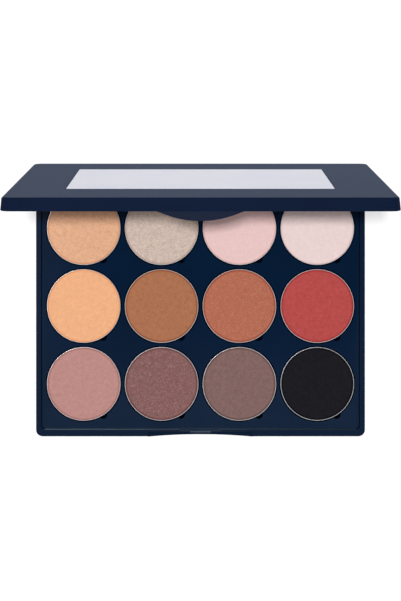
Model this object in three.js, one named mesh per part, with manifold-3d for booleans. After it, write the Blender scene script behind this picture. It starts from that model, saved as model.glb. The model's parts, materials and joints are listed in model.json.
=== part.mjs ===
// Twelve-shade eyeshadow palette: hinged flat case, well tray, lift-out magnetic pans. Millimetres.
// Frame: origin at the centre of the base's underside, +X right, +Y towards the hinge, +Z up.
// The lid is drawn in its own frame, on the hinge axis, and its group turns it open.
import * as THREE from 'three';
import { mergeVertices } from 'three/addons/utils/BufferGeometryUtils.js';
import Module from 'manifold-3d';

const wasm = await Module();
wasm.setup();

// ---- Driving dimensions ----
const CASE = { width: 116.1, depth: 95.0, height: 7.5, corner: 2.3, edge: 0.4 };
const WALL = { side: 1.9, front: 2.5, back: 2.5, floor: 1.4 };
const TRAY = { gap: 0.12, bottom: 1.5, top: 6.8, corner: 1.2, edge: 0.3 };
const WELL = { radius: 13.4, floor: 3.35 };
const PRY_NOTCH = { radius: 1.4, reach: 14.3, angle: -58 };
const PAN = { radius: 13.0, wall: 0.28, floor: 0.4, bottom: 3.4, top: 7.0, lowerEdge: 0.5 };
const POWDER = { radius: 12.67, bottom: 3.85, shoulder: 6.6, top: 6.95, bevel: 0.6 };
const MAGNET = { radius: 5.0, bottom: 1.55, top: 2.75, clearance: 0.1 };
const PITCH = 27.5;
const FRONT_ROW_Y = -29.0;

const LID = { width: 117.9, depth: 95.0, thickness: 4.12, corner: 2.8, opened: 78.83 };
const LID_FACE = { taper: 0.35, edge: 0.63, chamfer: 0.29 };
const LID_WALL = { skirt: 1.6, hinge: 3.0, panel: 1.5, rimGap: 0.1 };
const AXIS = { y: 45.95, aboveRim: 1.5 };
const PLATE = { width: 82.2, depth: 51.2, recess: 0.5, proud: 0.3, bevel: 0.25, corner: 0.6 };
const PLATE_CLEARANCE = 0.2;
const MIRROR = { width: 108, depth: 84, thickness: 1.3, corner: 2.0, bevel: 0.3 };
const FILM = { thickness: 0.12, gap: 0.05, margin: 1 };
const MIRROR_FILM = { thickness: 0.22, margin: 4 };

const TAB = { drop: 2.8, halfChord: 12.4, thickness: 0.9, inset: 0.12, root: 1.0 };
const CATCH = { width: 7.4, proud: 0.42, root: 0.3, height: 0.6, top: 6.9, ridgeProud: 0.35, ridgeDrop: 2.2 };
const THUMB = { halfWidth: 18.5, depth: 1.77, floor: 3.9 };
const LIP = { proud: 0.4, hollow: 0.84, foot: 0.5, run: 0.6 };

const EAR = { inner: 42, outer: 50, radius: 1.4, stem: 1.5, sideGap: 0.3, ceiling: 3.1 };
const PIN = { radius: 0.6, bore: 0.68, inner: 37.0, outer: 58.5, blindEnd: 36.7 };
const RELIEF = { drop: 0.8, fromY: 43.5 };
const LABEL = { width: 64, depth: 26, y: 26, recess: 0.2, thickness: 0.1, corner: 1.5, margin: 0.5 };

const ROUND = 32;         // facets of a pan, a powder cake and a well
const MAGNET_ROUND = 24;  // facets of a magnet and its pocket
const NOTCH_ROUND = 12;   // facets of a pry notch
const SMALL_ROUND = 16;   // facets of a pin, a bore, an ear and the tab's arc
const SCOOP_FACETS = 10;  // facets of the hollow front lip
const OVERRUN = 2;        // how far a cutter runs past the face that it cuts

const SHADES = [
  ['dusty_rose', 0xbe8d88], ['mauve', 0x916c68], ['taupe', 0x876a66], ['black', 0x1d1f26],
  ['peach', 0xf1b487], ['brown', 0xac7152], ['copper', 0xb87058], ['coral', 0xb54b48],
  ['peach_gold', 0xe5b18c], ['champagne', 0xcdbeb2], ['soft_pink', 0xe5c5c2], ['pale_pink', 0xe9d4d1],
];
const COLUMNS = 4;

// ---- Solids ----
function solid(geometry) {
  geometry.deleteAttribute('normal');
  geometry.deleteAttribute('uv');
  const merged = mergeVertices(geometry, 1e-5);
  const vertProperties = new Float32Array(merged.attributes.position.array);
  const triVerts = new Uint32Array(merged.index.array);
  return new wasm.Manifold(new wasm.Mesh({ numProp: 3, vertProperties, triVerts }));
}

function geometryOf(manifold) {
  const mesh = manifold.getMesh();
  const geometry = new THREE.BufferGeometry();
  geometry.setAttribute('position', new THREE.BufferAttribute(mesh.vertProperties.slice(), 3));
  geometry.setIndex(Array.from(mesh.triVerts));
  return geometry;
}

function roundedRectangle(width, depth, radius) {
  const x = width / 2;
  const y = depth / 2;
  const shape = new THREE.Shape();
  shape.absarc(x - radius, y - radius, radius, 0, Math.PI / 2);
  shape.absarc(radius - x, y - radius, radius, Math.PI / 2, Math.PI);
  shape.absarc(radius - x, radius - y, radius, Math.PI, 1.5 * Math.PI);
  shape.absarc(x - radius, radius - y, radius, 1.5 * Math.PI, 2 * Math.PI);
  return shape;
}

// A rounded-rectangle slab between two heights, with the same small round on both rims.
function slab({ width, depth, corner, bottom, top, edge = 0, centreY = 0, cornerFacets = 5 }) {
  const options = { depth: top - bottom - 2 * edge, bevelEnabled: edge > 0, curveSegments: cornerFacets };
  Object.assign(options, { bevelThickness: edge, bevelSize: edge, bevelOffset: -edge, bevelSegments: 2 });
  const geometry = new THREE.ExtrudeGeometry(roundedRectangle(width, depth, corner), options);
  return solid(geometry.translate(0, centreY, bottom + edge));
}

// A closed solid through rounded rectangles of different sizes, from the lowest to the highest.
function loft(sections, cornerFacets = 5) {
  const positions = [];
  const faces = [];
  const outlines = sections.map(({ width, depth, corner }) => (
    roundedRectangle(width, depth, corner).getPoints(cornerFacets)));
  const count = outlines[0].length - 1;
  sections.forEach(({ z }, level) => {
    for (const { x, y } of outlines[level].slice(0, count)) positions.push(x, y, z);
  });
  const last = (sections.length - 1) * count;
  for (let i = 0; i < count; i += 1) {
    const next = (i + 1) % count;
    for (let start = 0; start < last; start += count) {
      const above = start + count;
      faces.push(start + i, start + next, above + next, start + i, above + next, above + i);
    }
    if (i > 0 && next > 0) faces.push(0, next, i, last, last + i, last + next);
  }
  const geometry = new THREE.BufferGeometry();
  geometry.setAttribute('position', new THREE.Float32BufferAttribute(positions, 3));
  geometry.setIndex(faces);
  return solid(geometry);
}

function block(x0, x1, y0, y1, z0, z1) {
  const geometry = new THREE.BoxGeometry(x1 - x0, y1 - y0, z1 - z0);
  return solid(geometry.translate((x0 + x1) / 2, (y0 + y1) / 2, (z0 + z1) / 2));
}

// An upright cylinder with its first corner on +X.
function upright(radius, x, y, bottom, top, facets) {
  const geometry = new THREE.CylinderGeometry(radius, radius, top - bottom, facets);
  return solid(geometry.rotateX(Math.PI / 2).translate(x, y, (bottom + top) / 2));
}

// A cylinder along X, centred on (y, z).
function crosswise(radius, x0, x1, y, z) {
  const geometry = new THREE.CylinderGeometry(radius, radius, x1 - x0, SMALL_ROUND);
  return solid(geometry.rotateZ(Math.PI / 2).translate((x0 + x1) / 2, y, z));
}

// ---- Places ----
const cavity = {
  width: CASE.width - 2 * WALL.side,
  depth: CASE.depth - WALL.front - WALL.back,
  corner: TRAY.corner,
  centreY: (WALL.front - WALL.back) / 2,
};
const hingeZ = CASE.height + AXIS.aboveRim;
const thumbY = THUMB.depth - CASE.depth / 2;

// Heights in the lid's frame, whose origin is on the hinge axis and whose -Y runs to the lid's front.
const lidY = { back: CASE.depth / 2 - AXIS.y, front: CASE.depth / 2 - AXIS.y - LID.depth };
const lidMiddleY = (lidY.back + lidY.front) / 2;
const lidZ = { rimPlane: -AXIS.aboveRim, rim: LID_WALL.rimGap - AXIS.aboveRim };
lidZ.outer = LID.thickness - AXIS.aboveRim;
lidZ.ceiling = lidZ.outer - LID_WALL.panel;

// The stretch of X between two distances from the middle, on the right (end 1) or the left (end -1).
function stretch(end, inner, outer) {
  return end > 0 ? [inner, outer] : [-outer, -inner];
}

function wellCentre(index) {
  const column = index % COLUMNS;
  const row = Math.floor(index / COLUMNS);
  return { x: (column - (COLUMNS - 1) / 2) * PITCH, y: FRONT_ROW_Y + row * PITCH };
}

// ---- Base ----
// The ear's outline is a round head on the axis with a stem down into the base's back wall.
function hingeEar(end) {
  const outline = new THREE.Shape();
  const foot = -AXIS.aboveRim - OVERRUN;
  const neck = Math.acos(EAR.stem / 2 / EAR.radius);
  outline.moveTo(-EAR.stem / 2, foot);
  outline.lineTo(EAR.stem / 2, foot);
  outline.absarc(0, 0, EAR.radius, -neck, Math.PI + neck);
  const options = { depth: EAR.outer - EAR.inner, bevelEnabled: false, curveSegments: SMALL_ROUND };
  const geometry = new THREE.ExtrudeGeometry(outline, options);
  geometry.rotateY(Math.PI / 2).rotateX(Math.PI / 2);
  const [startX] = stretch(end, EAR.inner, EAR.outer);
  return solid(geometry.translate(startX, AXIS.y, hingeZ));
}

// The ledge under the thumb recess stands proud of the front face at its ends and is hollow in the middle.
function thumbLip() {
  const end = THUMB.halfWidth + LIP.run;
  const front = -CASE.depth / 2;
  return block(-end, end, front - LIP.proud, front + WALL.front / 2, LIP.foot, THUMB.floor);
}

// A shallow concave cylinder that hollows the front face between the ends of the thumb recess.
function thumbScoop() {
  const radius = (THUMB.halfWidth ** 2 + LIP.hollow ** 2) / (2 * LIP.hollow);
  const half = Math.asin(THUMB.halfWidth / radius);
  const outline = new THREE.Shape();
  const centreY = LIP.hollow - LIP.proud - CASE.depth / 2 - radius;
  outline.absarc(0, centreY, radius, Math.PI / 2 - half, Math.PI / 2 + half);
  outline.lineTo(-THUMB.halfWidth, -CASE.depth / 2 - OVERRUN);
  outline.lineTo(THUMB.halfWidth, -CASE.depth / 2 - OVERRUN);
  const options = { depth: CASE.height + 2 * OVERRUN, bevelEnabled: false, curveSegments: SCOOP_FACETS };
  return solid(new THREE.ExtrudeGeometry(outline, options).translate(0, 0, -OVERRUN));
}

function baseShell() {
  const front = -CASE.depth / 2 - OVERRUN;
  const behind = CASE.depth / 2 + OVERRUN;
  const side = CASE.width / 2 + OVERRUN;
  const above = CASE.height + OVERRUN;
  const nub = CATCH.width / 2;
  const nubY = [thumbY - CATCH.proud, thumbY + CATCH.root];
  const label = { width: LABEL.width, depth: LABEL.depth, corner: LABEL.corner, centreY: LABEL.y };
  let shell = slab({ ...CASE, bottom: 0, top: CASE.height })
    .subtract(slab({ ...cavity, bottom: WALL.floor, top: above }))
    .add(thumbLip())
    .subtract(thumbScoop())
    .subtract(block(-THUMB.halfWidth, THUMB.halfWidth, front, thumbY, THUMB.floor, above))
    .add(block(-nub, nub, ...nubY, CATCH.top - CATCH.height, CATCH.top))
    .subtract(block(-side, side, RELIEF.fromY, behind, CASE.height - RELIEF.drop, above))
    .subtract(slab({ ...label, bottom: -OVERRUN, top: LABEL.recess }));
  for (const end of [-1, 1]) {
    const bore = stretch(end, EAR.inner - OVERRUN, EAR.outer + OVERRUN);
    shell = shell.add(hingeEar(end)).subtract(crosswise(PIN.bore, ...bore, AXIS.y, hingeZ));
  }
  return shell;
}

function undersideLabel() {
  const width = LABEL.width - 2 * LABEL.margin;
  const depth = LABEL.depth - 2 * LABEL.margin;
  const top = LABEL.recess - FILM.gap;
  return slab({ width, depth, corner: LABEL.corner, bottom: top - LABEL.thickness, top, centreY: LABEL.y });
}

// ---- Tray ----
function wellTray() {
  const width = cavity.width - 2 * TRAY.gap;
  const depth = cavity.depth - 2 * TRAY.gap;
  let tray = slab({ ...TRAY, width, depth, centreY: cavity.centreY });
  const notchAngle = THREE.MathUtils.degToRad(PRY_NOTCH.angle);
  const notchCentre = PRY_NOTCH.reach - PRY_NOTCH.radius;
  const above = TRAY.top + OVERRUN;
  SHADES.forEach((shade, index) => {
    const { x, y } = wellCentre(index);
    const notchX = x + notchCentre * Math.cos(notchAngle);
    const notchY = y + notchCentre * Math.sin(notchAngle);
    const pocketRadius = MAGNET.radius + MAGNET.clearance;
    tray = tray
      .subtract(upright(WELL.radius, x, y, WELL.floor, above, ROUND))
      .subtract(upright(PRY_NOTCH.radius, notchX, notchY, WELL.floor, above, NOTCH_ROUND))
      .subtract(upright(pocketRadius, x, y, 0, MAGNET.top + MAGNET.clearance, MAGNET_ROUND));
  });
  return tray;
}

// ---- Pans, powders and magnets ----
function lathe(profile, facets) {
  const points = profile.map(([radius, height]) => new THREE.Vector2(radius, height));
  return new THREE.LatheGeometry(points, facets).rotateX(Math.PI / 2);
}

function panGeometry() {
  const inside = PAN.radius - PAN.wall;
  const inner = PAN.bottom + PAN.floor;
  return lathe([
    [0, PAN.bottom], [PAN.radius - PAN.lowerEdge, PAN.bottom], [PAN.radius, PAN.bottom + PAN.lowerEdge],
    [PAN.radius, PAN.top], [inside, PAN.top], [inside, inner], [0, inner],
  ], ROUND);
}

function powderGeometry() {
  const flat = POWDER.radius - POWDER.bevel;
  return lathe([
    [0, POWDER.bottom], [POWDER.radius, POWDER.bottom], [POWDER.radius, POWDER.shoulder],
    [flat, POWDER.top], [0, POWDER.top],
  ], ROUND);
}

function magnetGeometry() {
  const { radius, bottom, top } = MAGNET;
  return lathe([[0, bottom], [radius, bottom], [radius, top], [0, top]], MAGNET_ROUND);
}

// ---- Lid ----
// The tab is the lower segment of a circle, hanging below the lid's front rim.
function lidTab() {
  const radius = (TAB.halfChord ** 2 + TAB.drop ** 2) / (2 * TAB.drop);
  const half = Math.asin(TAB.halfChord / radius);
  const outline = new THREE.Shape();
  const arcCentreZ = lidZ.rimPlane - TAB.drop + radius;
  outline.absarc(0, arcCentreZ, radius, -Math.PI / 2 - half, -Math.PI / 2 + half);
  outline.lineTo(TAB.halfChord, lidZ.rim + TAB.root);
  outline.lineTo(-TAB.halfChord, lidZ.rim + TAB.root);
  const options = { depth: TAB.thickness, bevelEnabled: false, curveSegments: SMALL_ROUND };
  const geometry = new THREE.ExtrudeGeometry(outline, options).rotateX(Math.PI / 2);
  return solid(geometry.translate(0, lidY.front + TAB.inset + TAB.thickness, 0));
}

// The lid's outer form: walls that taper in towards the outer face, with a small round along its edge.
function lidBlank() {
  const { taper, edge, chamfer } = LID_FACE;
  const insetsAndHeights = [
    [0, lidZ.rim],
    [taper, lidZ.outer - edge],
    [taper + chamfer * edge, lidZ.outer - chamfer * edge],
    [taper + edge, lidZ.outer],
  ];
  const sections = insetsAndHeights.map(([inset, z]) => (
    { width: LID.width - 2 * inset, depth: LID.depth - 2 * inset, corner: LID.corner - inset, z }));
  return loft(sections).translate([0, lidMiddleY, 0]);
}

function lidShell() {
  const skirt = LID_WALL.skirt;
  const inside = { width: LID.width - 2 * skirt, depth: LID.depth - skirt - LID_WALL.hinge };
  const insideY = lidMiddleY + (skirt - LID_WALL.hinge) / 2;
  const far = LID.width;
  const below = lidZ.rim - LID.thickness;
  const plateRecess = {
    width: PLATE.width + 2 * PLATE_CLEARANCE,
    depth: PLATE.depth + 2 * PLATE_CLEARANCE,
    corner: PLATE.corner + PLATE_CLEARANCE,
    centreY: lidMiddleY,
  };
  const plateBottom = lidZ.outer - PLATE.recess;
  const tabInner = lidY.front + TAB.inset + TAB.thickness;
  const ridge = CATCH.width / 2;
  const ridgeY = [tabInner - CATCH.root, tabInner + CATCH.ridgeProud];
  const ridgeZ = lidZ.rimPlane - CATCH.ridgeDrop;
  let shell = lidBlank()
    .subtract(slab({ ...inside, corner: TRAY.corner, bottom: below, top: lidZ.ceiling, centreY: insideY }))
    .subtract(slab({ ...plateRecess, bottom: plateBottom, top: lidZ.outer + OVERRUN }))
    .add(lidTab())
    .add(block(-ridge, ridge, ...ridgeY, ridgeZ, ridgeZ + CATCH.height));
  for (const end of [-1, 1]) {
    const slot = stretch(end, EAR.inner - EAR.sideGap, EAR.outer + EAR.sideGap);
    const bore = stretch(end, PIN.blindEnd, far);
    shell = shell
      .subtract(block(...slot, -LID_WALL.hinge, lidY.back + OVERRUN, below, EAR.ceiling - AXIS.aboveRim))
      .subtract(crosswise(PIN.bore, ...bore, 0, 0));
  }
  return shell;
}

function labelPlate() {
  const bottom = lidZ.outer - PLATE.recess + FILM.thickness + 2 * FILM.gap;
  const { width, depth, corner, bevel } = PLATE;
  const top = lidZ.outer + PLATE.proud;
  const drawn = { width, depth, corner, edge: bevel, centreY: lidMiddleY, cornerFacets: 3 };
  return slab({ ...drawn, bottom: bottom - OVERRUN, top })
    .subtract(block(-width, width, lidY.front, lidY.back, bottom - 2 * OVERRUN, bottom));
}

function plateFilm() {
  const bottom = lidZ.outer - PLATE.recess + FILM.gap;
  const width = PLATE.width - 2 * FILM.margin;
  const depth = PLATE.depth - 2 * FILM.margin;
  const top = bottom + FILM.thickness;
  return slab({ width, depth, corner: PLATE.corner, bottom, top, centreY: lidMiddleY, cornerFacets: 2 });
}

const mirrorY = lidMiddleY + (LID_WALL.skirt - LID_WALL.hinge) / 2;
const mirrorFilmZ = lidZ.ceiling - FILM.gap - MIRROR_FILM.thickness;

function mirror() {
  const top = mirrorFilmZ - FILM.gap;
  return slab({ ...MIRROR, edge: MIRROR.bevel, bottom: top - MIRROR.thickness, top, centreY: mirrorY });
}

function mirrorFilm() {
  const width = MIRROR.width - 2 * MIRROR_FILM.margin;
  const depth = MIRROR.depth - 2 * MIRROR_FILM.margin;
  const top = mirrorFilmZ + MIRROR_FILM.thickness;
  return slab({ width, depth, corner: MIRROR.corner, bottom: mirrorFilmZ, top, centreY: mirrorY });
}

// ---- Materials ----
function finish(color, roughness, metalness) {
  return new THREE.MeshStandardMaterial({ color, roughness, metalness });
}

const casePlastic = finish(0x16233a, 0.42, 0);
const trayPlastic = finish(0x0d1c33, 0.5, 0);
const lidPlastic = finish(0x1c2840, 0.45, 0);
const tinplate = finish(0xd0d0d0, 0.3, 1);
const nickel = finish(0xb8bac0, 0.25, 1);
const steel = finish(0xa8abb0, 0.3, 1);
const satinSilver = finish(0xdcd9e2, 0.35, 0.6);
const silvered = finish(0xe8ecef, 0.03, 1);
const adhesive = finish(0xe9e6da, 0.8, 0);
const paper = finish(0xf2f1ec, 0.9, 0);

// ---- Assembly ----
function named(name, geometry, material) {
  const mesh = new THREE.Mesh(geometry, material);
  mesh.name = name;
  return mesh;
}

const palette = new THREE.Group();
palette.add(named('base_shell', geometryOf(baseShell()), casePlastic));
palette.add(named('well_tray', geometryOf(wellTray()), trayPlastic));

SHADES.forEach(([shade, color], index) => {
  const unit = new THREE.Group();
  const { x, y } = wellCentre(index);
  unit.position.set(x, y, 0);
  unit.add(named(`pan_${shade}`, panGeometry(), tinplate));
  unit.add(named(`powder_${shade}`, powderGeometry(), finish(color, 0.85, 0)));
  unit.add(named(`magnet_${shade}`, magnetGeometry(), nickel));
  palette.add(unit);
});

palette.add(named('underside_label', geometryOf(undersideLabel()), paper));

const lid = new THREE.Group();
lid.position.set(0, AXIS.y, hingeZ);
lid.rotation.x = -THREE.MathUtils.degToRad(LID.opened);
lid.add(named('lid_shell', geometryOf(lidShell()), lidPlastic));
lid.add(named('label_plate', geometryOf(labelPlate()), satinSilver));
lid.add(named('plate_adhesive', geometryOf(plateFilm()), adhesive));
lid.add(named('mirror', geometryOf(mirror()), silvered));
lid.add(named('mirror_adhesive', geometryOf(mirrorFilm()), adhesive));
for (const [name, end] of [['hinge_pin_left', -1], ['hinge_pin_right', 1]]) {
  const pin = crosswise(PIN.radius, ...stretch(end, PIN.inner, PIN.outer), 0, 0);
  lid.add(named(name, geometryOf(pin), steel));
}
palette.add(lid);

export default palette;
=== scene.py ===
"""Twelve-shade eyeshadow palette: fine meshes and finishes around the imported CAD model.

Lengths are in millimetres, because the object is small, and each mesh is scaled to metres as it is made.
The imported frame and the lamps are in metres.
"""

import json
import math

import bmesh
import bpy
from mathutils import Matrix, Vector, noise


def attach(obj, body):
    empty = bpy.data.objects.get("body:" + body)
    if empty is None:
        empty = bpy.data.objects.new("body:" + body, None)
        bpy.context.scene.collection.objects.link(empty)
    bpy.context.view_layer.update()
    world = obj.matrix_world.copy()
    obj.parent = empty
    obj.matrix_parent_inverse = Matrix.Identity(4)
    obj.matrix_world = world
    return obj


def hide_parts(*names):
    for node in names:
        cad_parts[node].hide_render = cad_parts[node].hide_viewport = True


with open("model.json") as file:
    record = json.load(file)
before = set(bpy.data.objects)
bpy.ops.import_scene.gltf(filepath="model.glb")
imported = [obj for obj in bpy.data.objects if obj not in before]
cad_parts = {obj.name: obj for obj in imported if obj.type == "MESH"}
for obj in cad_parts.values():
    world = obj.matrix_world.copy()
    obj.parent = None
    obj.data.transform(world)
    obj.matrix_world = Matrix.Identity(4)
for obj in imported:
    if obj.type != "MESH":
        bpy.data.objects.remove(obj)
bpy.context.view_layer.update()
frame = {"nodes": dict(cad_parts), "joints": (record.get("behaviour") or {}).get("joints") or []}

MM = 0.001
TOUCH = 0.01  # How near counts as touching
SHARP_ANGLE = 32  # Edges sharper than this many degrees stay sharp
SHADES = [node[len("pan_"):] for node in sorted(frame["nodes"]) if node.startswith("pan_")]

# ---- Dimensions that the CAD nodes' boxes don't give, and rounds that only these meshes have ----
# The base casing
CASE_CORNER = 2.3
CASE_FOOT_ROUND = 0.5
CASE_RIM_Z = 7.5
CASE_RIM_ROUND = 0.3
CASE_FLOOR_Z = 1.4
WALL_SIDE = 1.9
WALL_END = 2.5
CAVITY_CORNER = 1.2
RELIEF_DROP = 0.8
RELIEF_START_Y = 43.5
RELIEF_RAMP = 0.5
PAPER_RECESS = 0.2
PAPER_CORNER = 1.5
PAPER_CLEARANCE = 0.5

# The thumb recess: a pocket in the front wall over a ledge, with the catch's nub in the pocket
THUMB_HALF_WIDTH = 18.5
THUMB_DEPTH = 1.77
THUMB_FLOOR_Z = 3.9
THUMB_SIDE_ROUND = 0.35
LEDGE_ROUND_BELOW = 0.1
LEDGE_ROUND_ABOVE = 0.25
LIP_PROUD = 0.4
LIP_HOLLOW = 0.84
LIP_RUN = 0.6
NUB_SIZE = (7.4, 0.72, 0.6)
NUB_TOP_Z = 6.9
NUB_ROUND = 0.2
NUB_PROUD = 0.3

# The hinge: bored ears on the base, and slots and bores in the lid's back wall
EAR_RADIUS = 1.4
EAR_STEM = 1.5
EAR_FROM, EAR_TO = 42.0, 50.0
EAR_EDGE = 0.15
PIN_BORE = 0.68
PIN_CHAMFER = 0.12
BORE_FROM, BORE_TO = 36.7, 62.0
SLOT_GAP = 0.3
SLOT_TOP = 1.6
SLOT_ROUND = 0.2

# The tray, the pans and the powder
TRAY_ROUND = 0.2
WELL_RADIUS = 13.4
WELL_FLOOR_Z = 3.35
WELL_ROUND = 0.12
NOTCH_RADIUS = 1.4
NOTCH_REACH = 14.3
NOTCH_ANGLE = math.radians(-58)
NOTCH_SPAN = 0.17
POCKET_RADIUS = 5.1
POCKET_TOP_Z = 2.85
PAN_WALL = 0.24
PAN_SLACK = 0.03
PAN_LIP = 0.06
PAN_FLOOR = 0.4
PAN_FOOT = 0.5
POWDER_BEVEL = 0.35
POWDER_SHOULDER = 0.14
POWDER_FILL = 0.05
POWDER_RIM_FROM = 0.75
POWDER_RIM_FULL = 0.2

# The lid
LID_CORNER = 2.8
LID_ROUND = 0.7
LID_RIM_ROUND = 0.2
LID_RIM_GAP = 0.1
LID_SKIRT = 1.6
LID_BACK_WALL = 3.0
LID_PANEL = 1.5
LID_TAPER = 0.35
PLATE_RECESS = 0.5
PLATE_RECESS_CORNER = 0.7
PLATE_RECESS_ROUND = 0.12
PLATE_CLEARANCE = 0.2
PLATE_CORNER = 0.6
PLATE_BEVEL = 0.3
MIRROR_CORNER = 2.0
TAB_DROP = 2.8
TAB_HALF_CHORD = 12.4
TAB_THICKNESS = 0.9
TAB_INSET = 0.12
TAB_ROUND = 0.25
RIDGE_SIZE = (7.4, 0.65, 0.6)
RIDGE_DROP = 2.2
RIDGE_ROUND = 0.18
RIDGE_SUNK = 0.3


# ---- Mesh building ----
def outline(width, depth, radius, centre_y=0.0, inset=0.0, front_xs=(), side_ys=()):
    """A rounded rectangle, counter-clockwise from above, drawn in by the inset all round.

    Extra points can be put along its front edge, at the given x, and along its sides, at the given y.
    """
    x, y = width / 2 - inset, depth / 2 - inset
    r = radius - inset
    steps = 8
    points = [(x, centre_y + s) for s in side_ys]
    corners = [(x - r, y - r, 0), (r - x, y - r, 90), (r - x, r - y, 180), (x - r, r - y, 270)]
    for number, (corner_x, corner_y, start) in enumerate(corners):
        for step in range(steps + 1):
            angle = math.radians(start + 90 * step / steps)
            points.append((corner_x + r * math.cos(angle), centre_y + corner_y + r * math.sin(angle)))
        if number == 1:
            points += [(-x, centre_y + s) for s in reversed(side_ys)]
        if number == 2:
            points += [(s, centre_y - y) for s in front_xs]
    return points


def circle(radius, x=0.0, y=0.0, count=96):
    angles = [2 * math.pi * i / count for i in range(count)]
    return [(x + radius * math.cos(a), y + radius * math.sin(a)) for a in angles]


def quarter(radius, steps=4):
    """(inset, drop) pairs round a quarter circle, from the side wall up to the flat."""
    angles = [math.pi / 2 * i / steps for i in range(steps + 1)]
    return [(radius * (1 - math.cos(a)), radius * (1 - math.sin(a))) for a in angles]


def falling_quarter(radius, steps=4):
    """The same pairs from the flat down to the side wall."""
    return list(reversed(quarter(radius, steps)))


def smooth(value, low, high):
    """0 below low, 1 above high, and an even curve between them."""
    t = min(1.0, max(0.0, (value - low) / (high - low)))
    return t * t * (3 - 2 * t)


def at_height(points, z):
    return [Vector((x, y, z)) for x, y in points]


def add_ring(bm, points):
    return [bm.verts.new(p) for p in points]


def bridge(bm, lower, upper):
    """Quads between two rings that have the same number of corners."""
    count = len(lower)
    for i in range(count):
        j = (i + 1) % count
        bm.faces.new((lower[i], lower[j], upper[j], upper[i]))


def skin(bm, rings):
    """Bridges each ring of points to the next and returns the rings of vertices."""
    made = [add_ring(bm, ring) for ring in rings]
    for lower, upper in zip(made, made[1:]):
        bridge(bm, lower, upper)
    return made


def capped(bm, rings):
    """A closed solid through the rings, flat at both ends."""
    made = skin(bm, rings)
    bm.faces.new(made[0])
    bm.faces.new(made[-1])


def cup(bm, rings):
    """A surface through the rings, closed at the last one. It returns the first, which stays open."""
    made = skin(bm, rings)
    bm.faces.new(made[-1])
    return made[0]


def ring_edges(ring):
    found = []
    for i, vert in enumerate(ring):
        other = ring[(i + 1) % len(ring)]
        found += [e for e in vert.link_edges if e.other_vert(vert) is other]
    return found


def holed_face(bm, outer, holes):
    """A flat face inside the outer ring, left open where the holes are."""
    edges = ring_edges(outer)
    for hole in holes:
        edges += ring_edges(hole)
    bmesh.ops.triangle_fill(bm, use_beauty=True, use_dissolve=False, edges=edges)


def rounded_block(bm, centre, size, radius):
    """A block with rounded edges, as a closed part of its own."""
    made = bmesh.ops.create_cube(bm, size=1.0)
    bmesh.ops.scale(bm, vec=size, verts=made["verts"])
    bmesh.ops.translate(bm, vec=centre, verts=made["verts"])
    edges = {e for v in made["verts"] for e in v.link_edges}
    bmesh.ops.bevel(bm, geom=list(edges), offset=radius, segments=3, profile=0.5, affect="EDGES")


def paint(bm, name, value_at):
    """Writes a number from 0 to 1 on every corner, which the materials read by its name."""
    layer = bm.verts.layers.float.new(name)
    for vert in bm.verts:
        vert[layer] = value_at(vert.co)


def mesh_object(bm, name, place=None):
    """Turns the mesh into an object in metres, moved by the place matrix if there is one."""
    bmesh.ops.recalc_face_normals(bm, faces=bm.faces)
    mesh = bpy.data.meshes.new(name)
    bm.to_mesh(mesh)
    bm.free()
    mesh.transform(Matrix.Scale(MM, 4))
    if place is not None:
        mesh.transform(place)
    obj = bpy.data.objects.new(name, mesh)
    bpy.context.scene.collection.objects.link(obj)
    return obj


def shade_edges(mesh, sharp):
    """Smooth shading, except at edges sharper than this many degrees."""
    mesh.shade_smooth()
    mesh.set_sharp_from_angle(angle=math.radians(sharp))


def even_normals(obj):
    weighted = obj.modifiers.new("even_normals", "WEIGHTED_NORMAL")
    weighted.keep_sharp = True


def finished(bm, name, material, sharp=SHARP_ANGLE, place=None):
    obj = mesh_object(bm, name, place)
    shade_edges(obj.data, sharp)
    obj.data.materials.append(material)
    even_normals(obj)
    return obj


def local_box(node, inverse=Matrix()):
    """A CAD node's lowest and highest corners in millimetres, after the inverse of a place matrix."""
    points = [inverse @ v.co for v in frame["nodes"][node].data.vertices]
    low = Vector([min(p[i] for p in points) for i in range(3)]) / MM
    high = Vector([max(p[i] for p in points) for i in range(3)]) / MM
    return low, high


def seen_size(low, high):
    """A box's width and depth."""
    return high.x - low.x, high.y - low.y


def seen_centre(low, high):
    """A box's middle, seen from above."""
    return (low.x + high.x) / 2, (low.y + high.y) / 2


# ---- The lid's own frame, on the hinge axis ----
hinge = next(joint for joint in frame["joints"] if joint["name"] == "lid_hinge")
opened = math.radians(-hinge["range_deg"][0])
lid_place = Matrix.Translation(hinge["pos_m"]) @ Matrix.Rotation(-opened, 4, "X")
lid_inverse = lid_place.inverted()
AXIS_Y, AXIS_Z = hinge["pos_m"][1] / MM, hinge["pos_m"][2] / MM
RIM_PLANE = CASE_RIM_Z - AXIS_Z
LID_RIM = RIM_PLANE + LID_RIM_GAP
lid_low, lid_high = local_box("lid_shell", lid_inverse)
LID_FRONT, LID_BACK, LID_OUTER = lid_low.y, lid_high.y, lid_high.z
LID_MIDDLE = (LID_FRONT + LID_BACK) / 2


# ---- Materials ----
# Painted highlight: added to the plastic's colour where "edge" is 1
EDGE_HIGHLIGHT = (0.12, 0.16, 0.2)
# How dark the painted shade in the tray's wells and pry notches makes the plastic
DEEP_SHADE_SHARE = 0.12
# Painted shade round each cake's rim: the colour raised to this power, then scaled by the gain
POWDER_RIM_SHADE_POWER = 1.28
POWDER_RIM_SHADE_GAIN = 1.12
FLECK_LIFT = 0.28


def linear(red, green, blue):
    """An sRGB colour from 0 to 255 as linear RGBA."""
    values = [c / 255 for c in (red, green, blue)]
    return [v / 12.92 if v <= 0.04045 else ((v + 0.055) / 1.055) ** 2.4 for v in values] + [1.0]


def scaled(colour, share):
    """The colour made darker or lighter by the share, but no brighter than white."""
    return [min(1.0, c * share) for c in colour[:3]] + [1.0]


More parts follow.
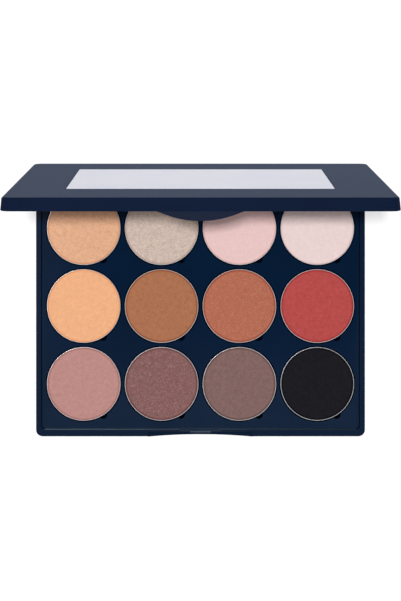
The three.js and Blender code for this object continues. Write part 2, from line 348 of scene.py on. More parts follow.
class Finish:
    """A material's node tree with short calls to add and join nodes."""

    def __init__(self, name, colour, roughness, metallic=0.0):
        self.material = bpy.data.materials.new(name)
        self.material.use_nodes = True
        self.nodes = self.material.node_tree.nodes
        self.links = self.material.node_tree.links
        self.shader = self.nodes["Principled BSDF"]
        self.set(self.shader, {"Base Color": colour, "Roughness": roughness, "Metallic": metallic})
        self.material.diffuse_color = colour

    def set(self, node, values):
        for key, value in values.items():
            if isinstance(value, bpy.types.NodeSocket):
                self.links.new(value, node.inputs[key])
            else:
                node.inputs[key].default_value = value

    def add(self, kind, values=(), **settings):
        node = self.nodes.new(kind)
        for key, value in settings.items():
            setattr(node, key, value)
        self.set(node, dict(values))
        return node

    def place(self, stretch=(1, 1, 1)):
        """The object's own coordinates in millimetres, stretched if the pattern runs one way."""
        place = self.add("ShaderNodeTexCoord").outputs["Object"]
        scale = [s / MM for s in stretch]
        return self.add("ShaderNodeMapping", {"Vector": place, "Scale": scale}).outputs["Vector"]

    def painted(self, name):
        """The numbers that paint() wrote on the mesh."""
        return self.add("ShaderNodeAttribute", attribute_name=name).outputs["Fac"]

    def noise(self, vector, per_mm, detail=3.0, roughness=0.55):
        values = {"Vector": vector, "Scale": per_mm, "Detail": detail, "Roughness": roughness}
        return self.add("ShaderNodeTexNoise", values).outputs["Fac"]

    def ramp(self, value, low, high, out_low, out_high):
        values = {"Value": value, "From Min": low, "From Max": high, "To Min": out_low, "To Max": out_high}
        return self.add("ShaderNodeMapRange", values).outputs["Result"]

    def sum(self, first, second):
        return self.add("ShaderNodeMath", {0: first, 1: second}, operation="ADD").outputs["Value"]

    def times(self, first, second):
        return self.add("ShaderNodeMath", {0: first, 1: second}, operation="MULTIPLY").outputs["Value"]

    def mix(self, share, first, second):
        node = self.add("ShaderNodeMix", data_type="RGBA")
        self.set(node, {0: share, 6: first, 7: second})
        return node.outputs[2]

    def bump(self, height, distance_mm, strength):
        values = {"Height": height, "Distance": distance_mm * MM, "Strength": strength}
        return self.add("ShaderNodeBump", values).outputs["Normal"]

    def drive(self, **sockets):
        """Joins nodes to the shader's sockets, named in lower case, and returns the material."""
        self.set(self.shader, {key.replace("_", " ").title(): value for key, value in sockets.items()})
        return self.material


def moulded_plastic(name, colour, roughness, specular, texture=0.012, bloom=0.0):
    """Navy plastic: fine texture, faint cloudiness, hair scratches, and bloom at a glancing angle.

    A painted highlight lightens it where "edge" is 1, and a painted shade darkens it where "deep" is 1.
    """
    look = Finish(name, colour, roughness)
    look.set(look.shader, {"Specular IOR Level": specular, "Sheen Weight": bloom, "Sheen Roughness": 0.4})
    look.set(look.shader, {"Sheen Tint": [0.45, 0.62, 1.0, 1.0]})
    place = look.place()
    cloud = look.noise(place, 0.05, 2.0)
    grain = look.noise(place, 6.0, 2.0)
    scratch = look.ramp(look.noise(look.place((0.02, 3.0, 3.0)), 1.0, 2.0), 0.70, 0.74, 0.0, 1.0)

    base = look.mix(look.ramp(cloud, 0.3, 0.7, 0.0, 1.0), scaled(colour, 0.93), scaled(colour, 1.07))
    # Painted highlight: lighter where "edge" is 1, broken up by the cloudiness
    highlight = look.times(look.painted("edge"), look.ramp(cloud, 0.35, 0.6, 0.7, 1.0))
    base = look.mix(highlight, base, [c + w for c, w in zip(colour[:3], EDGE_HIGHLIGHT)] + [1.0])
    # Painted shade: the plastic is darkened in the wells and pry notches, where shade falls
    base = look.mix(look.painted("deep_shade"), base, scaled(colour, DEEP_SHADE_SHARE))

    rough = look.ramp(grain, 0.3, 0.7, roughness - 0.04, roughness + 0.05)
    rough = look.sum(rough, look.times(scratch, -0.05))
    height = look.sum(grain, look.times(scratch, -0.4))
    return look.drive(base_color=base, roughness=rough, normal=look.bump(height, texture, 0.6))


def pressed_powder(name, colour, grain, shimmer, seed):
    """Pressed powder: mottled pigment, a fine tooth, painted shade round its rim and, on pearl shades,
    mica flecks.
    """
    look = Finish(name, colour, 0.9)
    look.set(look.shader, {"Specular IOR Level": 0.1, "Sheen Weight": 0.03})
    shift = (seed * 37.0, seed * 17.0, 0.0)
    place = look.add("ShaderNodeVectorMath", {0: look.place(), 1: shift}, operation="ADD").outputs[0]
    mottle = look.noise(place, 0.7, 5.0, 0.7)
    tooth = look.noise(place, 2.6, 4.0, 0.65)
    fine = look.noise(place, 9.0, 2.0)

    blend = look.sum(look.times(tooth, 0.6), look.times(mottle, 0.4))
    blend = look.ramp(blend, 0.38, 0.62, 0.0, 1.0)
    base = look.mix(blend, scaled(colour, 1 - grain), scaled(colour, 1 + grain))
    if shimmer:
        cells = look.add("ShaderNodeTexVoronoi", {"Vector": place, "Scale": 5.5}, feature="F1")
        pick = look.add("ShaderNodeSeparateColor", {"Color": cells.outputs["Color"]})
        fleck = look.ramp(pick.outputs["Red"], 1 - shimmer, 1.0, 0.0, 1.0)
        bright = [min(1.0, FLECK_LIFT + c) for c in colour[:3]] + [1.0]
        base = look.mix(look.times(fleck, 0.55), base, bright)
        look.drive(metallic=look.times(fleck, 0.5), roughness=look.ramp(fleck, 0.0, 1.0, 0.85, 0.4))

    # Painted shade: a darker, richer ring where the cake meets the pan, where "edge" is 1
    rim = [POWDER_RIM_SHADE_GAIN * c ** POWDER_RIM_SHADE_POWER for c in colour[:3]] + [1.0]
    base = look.mix(look.painted("edge"), base, rim)
    height = look.sum(tooth, look.times(fine, 0.5))
    return look.drive(base_color=base, normal=look.bump(height, 0.05, 0.5))


def brushed_metal(name, colour, roughness, stretch, metallic=1.0, powder=None):
    """Metal with a grain along one direction and soft handling marks, under powder where "dust" is 1."""
    look = Finish(name, colour, roughness, metallic)
    lines = look.noise(look.place(stretch), 4.0, 3.0)
    marks = look.noise(look.place(), 0.12, 3.0)
    rough = look.ramp(lines, 0.3, 0.7, roughness - 0.06, roughness + 0.06)
    rough = look.sum(rough, look.ramp(marks, 0.4, 0.7, 0.0, 0.08))
    base = look.mix(look.ramp(marks, 0.35, 0.75, 0.0, 0.25), colour, scaled(colour, 0.85))
    if powder is not None:
        dust = look.painted("dust")
        base = look.mix(dust, base, powder)
        rough = look.sum(rough, look.times(dust, 0.5))
        look.drive(metallic=look.ramp(dust, 0.0, 1.0, metallic, 0.0))
    return look.drive(base_color=base, roughness=rough, normal=look.bump(lines, 0.004, 0.5))


def satin_plate(name, colour):
    """A pale anodised face: short fine grain, nearly white, with soft variation."""
    look = Finish(name, colour, 0.42, 0.35)
    grain = look.noise(look.place((1.0, 0.08, 0.08)), 5.0, 3.0)
    cloud = look.noise(look.place(), 0.06, 2.0)
    cool = [colour[0] * 0.94, colour[1] * 0.95, colour[2], 1.0]
    base = look.mix(look.ramp(cloud, 0.3, 0.7, 0.0, 1.0), colour, cool)
    rough = look.ramp(grain, 0.3, 0.7, 0.36, 0.48)
    return look.drive(base_color=base, roughness=rough, normal=look.bump(grain, 0.003, 0.4))


def silvered_glass(name):
    """A mirror: silver under clear glass, with the faintest dust."""
    look = Finish(name, [0.93, 0.945, 0.95, 1.0], 0.015, 1.0)
    look.set(look.shader, {"Coat Weight": 0.6, "Coat Roughness": 0.01})
    dust = look.noise(look.place(), 0.9, 5.0, 0.7)
    return look.drive(roughness=look.ramp(dust, 0.62, 0.8, 0.012, 0.09))


def film_or_paper(name, colour, per_mm):
    """Matt paper or adhesive film with a fibrous tooth."""
    look = Finish(name, colour, 0.85)
    fibre = look.noise(look.place((1.0, 0.4, 1.0)), per_mm, 4.0)
    base = look.mix(look.ramp(fibre, 0.3, 0.7, 0.0, 1.0), scaled(colour, 0.94), colour)
    return look.drive(base_color=base, normal=look.bump(fibre, 0.01, 0.5))


def tinplate(shade):
    """A pan's pale metal, which the shade's own powder dusts at the lip."""
    powder = linear(*POWDERS[shade][0])
    return brushed_metal("tinplate_" + shade, linear(228, 230, 238), 0.3, (1.0, 1.0, 0.1), 0.65, powder)


case_plastic = moulded_plastic("case_plastic", linear(10, 25, 46), 0.45, 0.06)
lid_plastic = moulded_plastic("lid_plastic", linear(14, 25, 46), 0.55, 0.01, bloom=0.062)
tray_plastic = moulded_plastic("tray_plastic", linear(4, 23, 46), 0.5, 0.045, texture=0.018)
# A lighter, greyer copy of the navy plastic: painted sheen for the light the tab catches
tab_painted_sheen = moulded_plastic("tab_painted_sheen", linear(24, 31, 49), 0.5, 0.05)
pin_steel = brushed_metal("pin_steel", linear(186, 188, 192), 0.28, (0.05, 1.0, 1.0))
nickel = brushed_metal("magnet_nickel", linear(190, 190, 194), 0.22, (1.0, 1.0, 1.0))
plate_metal = satin_plate("plate_metal", linear(219, 220, 229))
mirror_glass = silvered_glass("mirror_glass")
paper = film_or_paper("label_paper", linear(240, 239, 234), 3.0)
adhesive = film_or_paper("adhesive", linear(214, 210, 196), 6.0)

# Each shade's colour, the contrast of its grain and its share of mica flecks
POWDERS = {
    "peach_gold": ((207, 158, 125), 0.20, 0.16),
    "champagne": ((188, 169, 158), 0.30, 0.24),
    "soft_pink": ((212, 180, 178), 0.08, 0.0),
    "pale_pink": ((213, 193, 191), 0.08, 0.0),
    "peach": ((218, 162, 121), 0.12, 0.0),
    "brown": ((155, 102, 73), 0.22, 0.0),
    "copper": ((163, 96, 74), 0.20, 0.12),
    "coral": ((164, 69, 67), 0.22, 0.0),
    "dusty_rose": ((171, 126, 121), 0.15, 0.0),
    "mauve": ((120, 84, 82), 0.28, 0.12),
    "taupe": ((117, 91, 88), 0.22, 0.0),
    "black": ((23, 22, 27), 0.35, 0.0),
}


# ---- The base ----
LEDGE_STEPS = (-0.4, -0.1, -0.05, 0.0, 0.05, 0.1, 0.15, 0.2, 0.3, 0.7)


def lip_depth(x):
    """How far the ledge is set back: hollow in the middle and proud of the front face at its ends."""
    across = abs(x) / THUMB_HALF_WIDTH
    if across < 1:
        return LIP_HOLLOW * (1 - across ** 2) - LIP_PROUD
    return -LIP_PROUD * (1 - smooth(abs(x), THUMB_HALF_WIDTH, THUMB_HALF_WIDTH + LIP_RUN))


def thumb_depth(x, z):
    """How far the front face is set back: the ledge below, and the thumb's pocket above it."""
    pocket = THUMB_DEPTH * (1 - smooth(abs(x), THUMB_HALF_WIDTH - THUMB_SIDE_ROUND, THUMB_HALF_WIDTH))
    above = smooth(z, THUMB_FLOOR_Z - LEDGE_ROUND_BELOW, THUMB_FLOOR_Z + LEDGE_ROUND_ABOVE)
    return lip_depth(x) * (1 - above) + pocket * above


def thumb_stations():
    """Corners along the front edge: close together where the recess ends, even between."""
    ends = [THUMB_HALF_WIDTH - 0.2 * THUMB_SIDE_ROUND * i for i in range(7)]
    ends += [THUMB_HALF_WIDTH + LIP_RUN * i / 5 for i in range(1, 6)]
    middle = [float(x) for x in range(-17, 18)]
    return sorted([-x for x in ends] + middle + ends)


def relief(y, z):
    """The rim steps down near the hinge so that the lid's back edge can swing past."""
    if z > CASE_RIM_Z - 1.0:
        return z - RELIEF_DROP * smooth(y, RELIEF_START_Y - RELIEF_RAMP, RELIEF_START_Y)
    return z


def case_rings(width, depth, cavity):
    """Rings up the casing's outside, over its rim and down to its floor."""
    front = -depth / 2
    side_ys = [front + CASE_CORNER + CAVITY_CORNER + 0.6]
    side_ys += [RELIEF_START_Y + RELIEF_RAMP * (0.2 * i - 1) for i in range(-1, 7)]
    stations = {"front_xs": thumb_stations(), "side_ys": side_ys}

    heights = falling_quarter(CASE_FOOT_ROUND)
    heights += [(0.0, z) for z in (1.2, 2.0, 3.0)]
    heights += [(0.0, THUMB_FLOOR_Z + step) for step in LEDGE_STEPS]
    heights += [(0.0, z) for z in (5.4, 6.2, 6.6)]
    heights += [(inset, CASE_RIM_Z - drop) for inset, drop in quarter(CASE_RIM_ROUND)]
    rings = []
    for inset, z in heights:
        ring = []
        for x, y in outline(width, depth, CASE_CORNER, inset=inset, **stations):
            if y < front + inset + TOUCH and abs(x) < THUMB_HALF_WIDTH + LIP_RUN:
                y += thumb_depth(x, z)
            ring.append(Vector((x, y, relief(y, z))))
        rings.append(ring)

    for outset, drop in [(CASE_RIM_ROUND + 0.15, 0.0)] + falling_quarter(CASE_RIM_ROUND):
        points = outline(*cavity, CAVITY_CORNER, inset=-outset, **stations)
        rings.append([Vector((x, y, relief(y, CASE_RIM_Z - drop))) for x, y in points])
    rings.append(at_height(outline(*cavity, CAVITY_CORNER, **stations), CASE_FLOOR_Z))
    return rings


def label_pocket(bm):
    """The shallow recess for the label under the base, a little wider at its mouth."""
    low, high = local_box("underside_label")
    width, depth = [side + 2 * PAPER_CLEARANCE for side in seen_size(low, high)]
    middle = seen_centre(low, high)[1]
    flare = 0.05
    rings = [at_height(outline(width + 2 * flare, depth + 2 * flare, PAPER_CORNER, middle), 0.0)]
    rings += [at_height(outline(width, depth, PAPER_CORNER, middle), z) for z in (flare, PAPER_RECESS)]
    return cup(bm, rings)


def base_shell():
    low, high = local_box("base_shell")
    width, depth = high.x - low.x, 2 * high.y
    cavity = (width - 2 * WALL_SIDE, depth - 2 * WALL_END)
    bm = bmesh.new()
    made = skin(bm, case_rings(width, depth, cavity))
    bm.faces.new(made[-1])
    holed_face(bm, made[0], [label_pocket(bm)])

    nub_y = THUMB_DEPTH - depth / 2 + NUB_PROUD - NUB_SIZE[1] / 2
    rounded_block(bm, (0, nub_y, NUB_TOP_Z - NUB_SIZE[2] / 2), NUB_SIZE, NUB_ROUND)
    for end in (-1, 1):
        hinge_ear(bm, end)
    wall_edge = (cavity[0] / 2 - CAVITY_CORNER, -cavity[1] / 2)
    # Painted highlights on the nub's top and along the front wall's inner edge
    paint(bm, "edge", lambda place: case_highlights(place, nub_y, wall_edge))
    return finished(bm, "base_casing", case_plastic)


def case_highlights(place, nub_y, wall_edge):
    """Painted highlights on the catch's nub and along the front wall's inner edge."""
    half_length, edge_y = wall_edge
    on_nub = abs(place.x) < NUB_SIZE[0] and place.z > NUB_TOP_Z - 0.1
    if on_nub and nub_y - NUB_SIZE[1] < place.y < edge_y:
        return 0.5 if place.y < nub_y else 0.1
    into_wall = edge_y - place.y
    on_wall = -TOUCH < into_wall < CASE_RIM_ROUND and place.z > CASE_RIM_Z - CASE_RIM_ROUND - TOUCH
    if on_wall and abs(place.x) < half_length + TOUCH:
        return front_highlight(place.x) * (1 - smooth(into_wall, 0.08, 0.2))
    return 0.0


def front_highlight(x):
    """The painted highlight along the front edge is brightest at the left, as if lit from there, and fades
    to a fifth at the right.
    """
    return 1.0 - 0.8 * smooth(x, -40.0, 35.0)


def hinge_ear(bm, end):
    """A round-headed ear on the hinge axis, bored for its pin, with its stem in the back wall."""
    stem = EAR_STEM / 2
    foot = CASE_RIM_Z - AXIS_Z - 2.0
    neck = math.acos(stem / EAR_RADIUS)
    head = [-neck + (math.pi + 2 * neck) * i / 45 for i in range(46)]
    shape = [(EAR_RADIUS * math.cos(a), EAR_RADIUS * math.sin(a)) for a in head]
    shape += [(-stem, foot), (stem, foot)]
    below = [-math.pi / 2 - math.asin(0.3), -math.pi / 2 + math.asin(0.3)]
    bore = [(PIN_BORE * math.cos(a), PIN_BORE * math.sin(a)) for a in head + below]

    def section(points, x, drawn_in=0.0):
        scale = 1 - drawn_in / EAR_RADIUS
        return [Vector((end * x, AXIS_Y + u * scale, AXIS_Z + v * scale)) for u, v in points]

    made = skin(bm, [section(bore, EAR_FROM),
                     section(shape, EAR_FROM, EAR_EDGE),
                     section(shape, EAR_FROM + EAR_EDGE),
                     section(shape, EAR_TO - EAR_EDGE),
                     section(shape, EAR_TO, EAR_EDGE),
                     section(bore, EAR_TO)])
    bridge(bm, made[-1], made[0])


# ---- The tray ----
# How much painted light lifts the tray's top towards the front and left
TRAY_PAINTED_LIGHT = 0.035


def well_outline(centre, radius):
    """A well's edge seen from above, which bulges out where the pry notch is."""
    notch = NOTCH_RADIUS + radius - WELL_RADIUS
    reach = NOTCH_REACH - NOTCH_RADIUS
    near = [NOTCH_SPAN * i / 40 for i in range(-40, 41)]
    rest = [NOTCH_SPAN + 2 * (math.pi - NOTCH_SPAN) * i / 72 for i in range(1, 72)]
    points = []
    for turn in near + rest:
        r = radius
        across = reach * math.sin(turn)
        if math.cos(turn) > 0 and abs(across) < notch:
            r = max(radius, reach * math.cos(turn) + math.sqrt(notch ** 2 - across ** 2))
        angle = NOTCH_ANGLE + turn
        points.append((centre[0] + r * math.cos(angle), centre[1] + r * math.sin(angle)))
    return points


def well(bm, centre, top):
    """A well with a round mouth. It returns its open edge."""
    rings = [at_height(well_outline(centre, WELL_RADIUS + inset), top - drop)
             for inset, drop in falling_quarter(WELL_ROUND)]
    rings += [at_height(well_outline(centre, WELL_RADIUS), z) for z in (top - 0.8, WELL_FLOOR_Z)]
    return cup(bm, rings)


def magnet_pocket(bm, centre, bottom):
    """A magnet's pocket in the tray's underside. It returns its open edge."""
    points = circle(POCKET_RADIUS, *centre, 48)
    return cup(bm, [at_height(points, z) for z in (bottom, POCKET_TOP_Z)])


def well_tray():
    low, high = local_box("well_tray")
    width, depth = seen_size(low, high)
    bottom, top = low.z, high.z
    bm = bmesh.new()
    sides = [at_height(outline(width, depth, CAVITY_CORNER), bottom)]
    sides += [at_height(outline(width, depth, CAVITY_CORNER, inset=inset), top - drop)
              for inset, drop in quarter(TRAY_ROUND)]
    body = skin(bm, sides)
    mouths, pockets = [], []
    for shade in SHADES:
        centre = seen_centre(*local_box("pan_" + shade))
        mouths.append(well(bm, centre, top))
        pockets.append(magnet_pocket(bm, centre, bottom))
    holed_face(bm, body[-1], mouths)
    holed_face(bm, body[0], pockets)
    # Painted shade, full at the well floors and notches and fading out towards the top
    paint(bm, "deep_shade", lambda place: 1 - smooth(place.z, top - 0.8, top - WELL_ROUND))
    # Painted highlight along the front edge, and painted light over the top
    front_edge = (width / 2 - CAVITY_CORNER + TOUCH, TRAY_ROUND * 0.8 - depth / 2)
    paint(bm, "edge", lambda place: tray_highlights(place, front_edge, top))
    return finished(bm, "tray_insert", tray_plastic)


def tray_highlights(place, front_edge, top):
    """A painted highlight along the front edge, and faint painted light over the top, lighter towards the
    front and left.
    """
    half_length, edge_y = front_edge
    if place.z < top - TRAY_ROUND * 1.01:
        return 0.0
    if place.y < edge_y and abs(place.x) < half_length:
        return 0.6 * front_highlight(place.x)
    return TRAY_PAINTED_LIGHT * (smooth(-place.y, 15.0, 40.0) + 0.35 * smooth(-place.x, 38.0, 52.0))


# ---- Pans and powder ----
def turned(profile, centre, count):
    """A solid of revolution about an upright axis, from a profile of (radius, height) off the axis."""
    bm = bmesh.new()
    capped(bm, [at_height(circle(radius, *centre, count), z) for radius, z in profile])
    return bm


def reach_from(centre, place):
    return math.hypot(place.x - centre[0], place.y - centre[1])


def pan(shade):
    """A tin pan with a rounded foot and a flat lip, which the powder dusts towards the inside."""
    low, high = local_box("pan_" + shade)
    centre = seen_centre(low, high)
    radius = (high.x - low.x) / 2 - PAN_SLACK
    inside = radius - PAN_WALL
    profile = [(radius - inset, low.z + drop) for inset, drop in falling_quarter(PAN_FOOT, 5)]
    profile += [(radius - inset, high.z - drop) for inset, drop in quarter(PAN_LIP)]
    profile += [(inside + inset, high.z - drop) for inset, drop in falling_quarter(PAN_LIP)]
    profile += [(inside, low.z + PAN_FLOOR + 0.2), (inside - 0.2, low.z + PAN_FLOOR)]
    bm = turned(profile, centre, 112)
    clean = radius - PAN_LIP
    paint(bm, "dust", lambda place: 1 - smooth(reach_from(centre, place), inside, clean))
    return finished(bm, "tin_" + shade, tinplate(shade))


def powder_cake(shade, number):
    """A pressed cake with a bevelled edge whose face keeps the press's slight unevenness."""
    low, high = local_box("powder_" + shade)
    centre = seen_centre(low, high)
    radius = (high.x - low.x) / 2 + POWDER_FILL
    flat = radius - POWDER_BEVEL
    bevel_steps, face_steps = 5, 30
    profile = [(radius, low.z), (radius, high.z - POWDER_SHOULDER)]
    for i in range(1, bevel_steps + 1):
        t = i / bevel_steps
        profile.append((radius - POWDER_BEVEL * t, high.z - POWDER_SHOULDER * (1 - t) ** 1.6))
    profile += [(flat * (1 - i / face_steps), high.z) for i in range(1, face_steps)]
    bm = turned(profile, centre, 96)
    for vert in bm.verts:
        if vert.co.z > high.z - POWDER_SHOULDER * 0.5:
            vert.co.z = min(high.z, vert.co.z + unevenness(vert.co, number))
    rim = (radius - POWDER_RIM_FROM, radius - POWDER_RIM_FULL)
    # Painted shade round the rim, none at the inner radius and full at the outer
    paint(bm, "edge", lambda place: smooth(reach_from(centre, place), *rim))
    colour, grain, shimmer = POWDERS[shade]
    material = pressed_powder("powder_" + shade, linear(*colour), grain, shimmer, number)
    return finished(bm, "cake_" + shade, material, 60)


def unevenness(place, number):
    """How far the cake's face is from flat: a broad wave and a small tooth, different in each cake."""
    wave = noise.noise(Vector((place.x * 0.22, place.y * 0.22, number * 5.0)))
    tooth = noise.noise(Vector((place.x * 1.4, place.y * 1.4, number * 3.0)))
    return 0.010 * wave + 0.006 * tooth - 0.012


# ---- The lid ----
def lid_casing():
    """The lid's shell: up its inside, over its rim, up its tapered outside and round into its face."""
    width, depth = lid_high.x - lid_low.x, LID_BACK - LID_FRONT
    inner = (width - 2 * LID_SKIRT, depth - LID_SKIRT - LID_BACK_WALL, CAVITY_CORNER)
    inner_y = LID_MIDDLE + (LID_SKIRT - LID_BACK_WALL) / 2
    rings = [at_height(outline(*inner, inner_y), LID_OUTER - LID_PANEL)]
    rings += [at_height(outline(*inner, inner_y, inset=-outset), LID_RIM + rise)
              for outset, rise in quarter(LID_RIM_ROUND)]
    rings += [at_height(outline(width, depth, LID_CORNER, LID_MIDDLE, inset), LID_RIM + rise)
              for inset, rise in falling_quarter(LID_RIM_ROUND)]
    face = (width - 2 * LID_TAPER, depth - 2 * LID_TAPER, LID_CORNER)
    rings += [at_height(outline(*face, LID_MIDDLE, inset), LID_OUTER - drop)
              for inset, drop in quarter(LID_ROUND, 6)]
    bm = bmesh.new()
    made = skin(bm, rings)
    bm.faces.new(made[0])
    holed_face(bm, made[-1], [plate_recess(bm)])

    casing_faces = set(bm.faces)
    lid_tab(bm)
    for face in bm.faces:
        face.material_index = 0 if face in casing_faces else 1
    casing = finished(bm, "lid_casing", lid_plastic, place=lid_place)
    # The tab gets the lighter copy of the plastic, a painted sheen
    casing.data.materials.append(tab_painted_sheen)
    return casing


def plate_recess(bm):
    """The recess for the label plate, with a round mouth."""
    low, high = local_box("label_plate", lid_inverse)
    width, depth = [side + 2 * PLATE_CLEARANCE for side in seen_size(low, high)]
    middle = seen_centre(low, high)[1]
    rings = [at_height(outline(width, depth, PLATE_RECESS_CORNER, middle, -outset), LID_OUTER - drop)
             for outset, drop in falling_quarter(PLATE_RECESS_ROUND)]
    rings.append(at_height(outline(width, depth, PLATE_RECESS_CORNER, middle), LID_OUTER - PLATE_RECESS))
    return cup(bm, rings)


def tab_drop(x):
    """How far the tab hangs below the rim plane: a circular arc with a small fillet at each end."""
    radius = (TAB_HALF_CHORD ** 2 + TAB_DROP ** 2) / (2 * TAB_DROP)
    arc = math.sqrt(radius ** 2 - x ** 2) - (radius - TAB_DROP)
    return 0.5 * (arc + math.sqrt(arc ** 2 + 0.05)) - 0.02


def lid_tab(bm):
    """The thumb tab: sections across its thickness, from one end of its arc to the other."""
    y_out = LID_FRONT + TAB_INSET
    y_in = y_out + TAB_THICKNESS
    root = LID_RIM + 0.5
    shoulder = LID_RIM + 0.1
    half_width = TAB_HALF_CHORD + 1.6
    steps = 56
    sections = []
    for i in range(steps + 1):
        x = half_width * (2 * i / steps - 1)
        tip = RIM_PLANE - tab_drop(x)
        if tip > LID_RIM - 0.12:
            tip = LID_RIM + 0.05
        section = [(y_out, root), (y_out, shoulder)]
        section += [(y_out + inset, tip + drop) for inset, drop in quarter(TAB_ROUND)]
        section += [(y_in - inset, tip + drop) for inset, drop in falling_quarter(TAB_ROUND)]
        section += [(y_in, shoulder), (y_in, root)]
        sections.append([Vector((x, y, z)) for y, z in section])
    capped(bm, sections)
    ridge_y = y_in - RIDGE_SUNK + RIDGE_SIZE[1] / 2
    ridge_z = RIM_PLANE - RIDGE_DROP + RIDGE_SIZE[2] / 2
    rounded_block(bm, (0, ridge_y, ridge_z), RIDGE_SIZE, RIDGE_ROUND)


def lid_plate():
    """The blank plate, whose bevel is rounded where it meets the face."""
    low, high = local_box("label_plate", lid_inverse)
    width, depth = seen_size(low, high)
    middle = seen_centre(low, high)[1]
    bevel = [(0.0, PLATE_BEVEL), (0.2 * PLATE_BEVEL, 0.75 * PLATE_BEVEL), (0.8 * PLATE_BEVEL, 0.04),
             (PLATE_BEVEL, 0.0)]
    rings = [at_height(outline(width, depth, PLATE_CORNER, middle), low.z)]
    for inset, drop in bevel:
        corner = PLATE_CORNER - 0.8 * inset
        points = outline(width - 2 * inset, depth - 2 * inset, corner, middle)
        rings.append(at_height(points, high.z - drop))
    bm = bmesh.new()
    capped(bm, rings)
    return finished(bm, "blank_plate", plate_metal, 25, lid_place)


def lid_mirror():
    """The mirror, with a polished bevel round the side that is seen."""
    low, high = local_box("mirror", lid_inverse)
    width, depth = seen_size(low, high)
    middle = seen_centre(low, high)[1]
    edge = [(0.1, high.z), (0.0, high.z - 0.1), (0.0, low.z + 0.5), (0.6, low.z + 0.06), (0.75, low.z)]
    bm = bmesh.new()
    capped(bm, [at_height(outline(width, depth, MIRROR_CORNER, middle, inset), z) for inset, z in edge])
    return finished(bm, "lid_mirror", mirror_glass, 12, lid_place)


def hinge_pin(side):
    low, high = local_box("hinge_pin_" + side, lid_inverse)
    radius = (high.z - low.z) / 2
    profile = [(radius - PIN_CHAMFER, low.x),
               (radius, low.x + PIN_CHAMFER),
               (radius, high.x - PIN_CHAMFER),
               (radius - PIN_CHAMFER, high.x)]
    bm = bmesh.new()
    capped(bm, [[Vector((x, u, v)) for u, v in circle(r, count=40)] for r, x in profile])
    return finished(bm, "pin_wire_" + side, pin_steel, 40, lid_place)


def underside_paper():
    low, high = local_box("underside_label")
    width, depth = seen_size(low, high)
    middle = seen_centre(low, high)[1]
    edge = [(0.03, low.z), (0.0, low.z + 0.03), (0.0, high.z)]
    bm = bmesh.new()
    capped(bm, [at_height(outline(width, depth, PAPER_CORNER, middle, inset), z) for inset, z in edge])
    return finished(bm, "blank_label", paper, 40)


def ear_slots():
    """Cutting blocks for the slots in the lid's back wall that the ears reach into."""
    bm = bmesh.new()
    size = (EAR_TO - EAR_FROM + 2 * SLOT_GAP, LID_BACK_WALL + 2.0, SLOT_TOP + 4.0)
    for end in (-1, 1):
        centre = (end * (EAR_FROM + EAR_TO) / 2, 1.0, SLOT_TOP - size[2] / 2)
        rounded_block(bm, centre, size, SLOT_ROUND)
    return mesh_object(bm, "slots", lid_place)


def pin_bores():
    """Cutting rods for the pins' bores, on the hinge axis."""
    bm = bmesh.new()
    for ends in ((-BORE_TO, -BORE_FROM), (BORE_FROM, BORE_TO)):
        capped(bm, [[Vector((x, u, v)) for u, v in circle(PIN_BORE, count=32)] for x in ends])
    return mesh_object(bm, "bores", lid_place)


def hinge_cutouts(lid):
    """Cuts the ears' slots and the pins' bores out of the lid's back wall, and keeps the result."""
    lid.modifiers.clear()
    tools = (ear_slots(), pin_bores())
    for tool in tools:
        modifier = lid.modifiers.new("cut", "BOOLEAN")
        modifier.operation = "DIFFERENCE"
        modifier.solver = "EXACT"
        modifier.object = tool
    keep_modifiers(lid)
    for tool in tools:
        bpy.data.objects.remove(tool)
    even_normals(lid)


def keep_modifiers(obj):
    """Replaces the object's mesh by the one that its modifiers give."""
    evaluated = obj.evaluated_get(bpy.context.evaluated_depsgraph_get())
    mesh = bpy.data.meshes.new_from_object(evaluated)
    obj.modifiers.clear()
    obj.data = mesh
    shade_edges(mesh, SHARP_ANGLE)


# ---- Assembly ----
def place_piece(piece, body, slot, *nodes):
    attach(piece, body)
    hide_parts(*nodes)


def refinish(node, material):
    """Gives a CAD node that keeps its shape a better material."""
    materials = frame["nodes"][node].data.materials
    materials.clear()
    materials.append(material)


place_piece(base_shell(), "base", "case_plastic", "base_shell")
place_piece(well_tray(), "base", "tray_plastic", "well_tray")
place_piece(underside_paper(), "base", "label_paper", "underside_label")
for number, shade in enumerate(SHADES):
    place_piece(pan(shade), "refill_" + shade, "pan_tinplate", "pan_" + shade)
    place_piece(powder_cake(shade, number), "refill_" + shade, "powder_" + shade, "powder_" + shade)
    refinish("magnet_" + shade, nickel)
lid = lid_casing()
hinge_cutouts(lid)
place_piece(lid, "lid", "lid_plastic", "lid_shell")
place_piece(lid_plate(), "lid", "plate_metal", "label_plate")
place_piece(lid_mirror(), "lid", "mirror_glass", "mirror")
for side in ("left", "right"):
    place_piece(hinge_pin(side), "lid", "pin_steel", "hinge_pin_" + side)
for node in ("plate_adhesive", "mirror_adhesive"):
    refinish(node, adhesive)


# ---- Stage, light and camera ----
CAMERA_HEIGHT = 543.0
CAMERA_Y = 0.45
LENS = 92.18
HORIZON = 0.6
ZENITH = 0.25
FLOOR_GLOW = 0.65


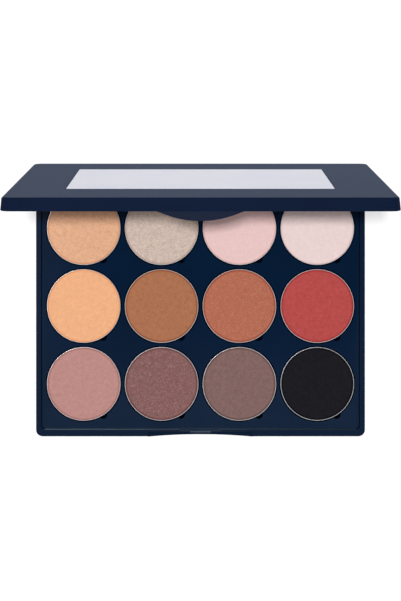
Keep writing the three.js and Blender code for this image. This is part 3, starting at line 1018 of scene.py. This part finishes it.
def pale_floor():
    """A white sweep, faintly lit from below like a light table."""
    bm = bmesh.new()
    bmesh.ops.create_grid(bm, x_segments=1, y_segments=1, size=3.0)
    mesh = bpy.data.meshes.new("floor")
    bm.to_mesh(mesh)
    bm.free()
    floor = bpy.data.objects.new("floor", mesh)
    floor.location.z = -0.0001
    bpy.context.scene.collection.objects.link(floor)
    look = Finish("floor_white", [0.35, 0.35, 0.35, 1.0], 0.9)
    glow = {"Emission Color": [1.0] * 4, "Emission Strength": FLOOR_GLOW}
    look.set(look.shader, {"Specular IOR Level": 0.0, **glow})
    mesh.materials.append(look.material)


def softbox(name, place, aim, size, power, glint=False):
    """A rectangular lamp; a glint is only seen in glossy surfaces, the others only light."""
    light = bpy.data.lights.new(name, "AREA")
    light.shape = "RECTANGLE"
    light.size, light.size_y = size
    light.energy = power
    obj = bpy.data.objects.new(name, light)
    obj.location = place
    direction = Vector(aim) - Vector(place)
    obj.rotation_mode = "QUATERNION"
    obj.rotation_quaternion = direction.to_track_quat("-Z", "Y")
    obj.visible_glossy = glint
    obj.visible_diffuse = not glint
    bpy.context.scene.collection.objects.link(obj)


def studio_sky():
    """Soft white walls all round that darken towards the ceiling, where the camera hangs."""
    world = bpy.data.worlds.new("studio")
    bpy.context.scene.world = world
    world.use_nodes = True
    nodes, links = world.node_tree.nodes, world.node_tree.links
    direction = nodes.new("ShaderNodeTexCoord")
    parts = nodes.new("ShaderNodeSeparateXYZ")
    level = nodes.new("ShaderNodeMapRange")
    level.inputs["To Min"].default_value = HORIZON
    level.inputs["To Max"].default_value = ZENITH
    links.new(direction.outputs["Generated"], parts.inputs[0])
    links.new(parts.outputs["Z"], level.inputs["Value"])
    background = nodes["Background"]
    background.inputs["Color"].default_value = (1.0, 1.0, 1.0, 1.0)
    links.new(level.outputs["Result"], background.inputs["Strength"])


def studio():
    studio_sky()
    softbox("key", (-0.03, 0.0, 1.2), (0, 0.01, 0), (0.05, 0.05), 12.6)
    softbox("back_glint", (-0.35, 0.45, 1.1), (0, 0, 0), (0.3, 0.3), 8.0, glint=True)


def camera():
    data = bpy.data.cameras.new("camera")
    data.lens = LENS
    data.sensor_width = 36.0
    data.clip_start = 0.01
    obj = bpy.data.objects.new("camera", data)
    obj.location = (0.0, CAMERA_Y * MM, (CASE_RIM_Z + CAMERA_HEIGHT) * MM)
    bpy.context.scene.collection.objects.link(obj)
    bpy.context.scene.camera = obj


pale_floor()
studio()
camera()
bpy.context.scene.view_settings.view_transform = "Standard"
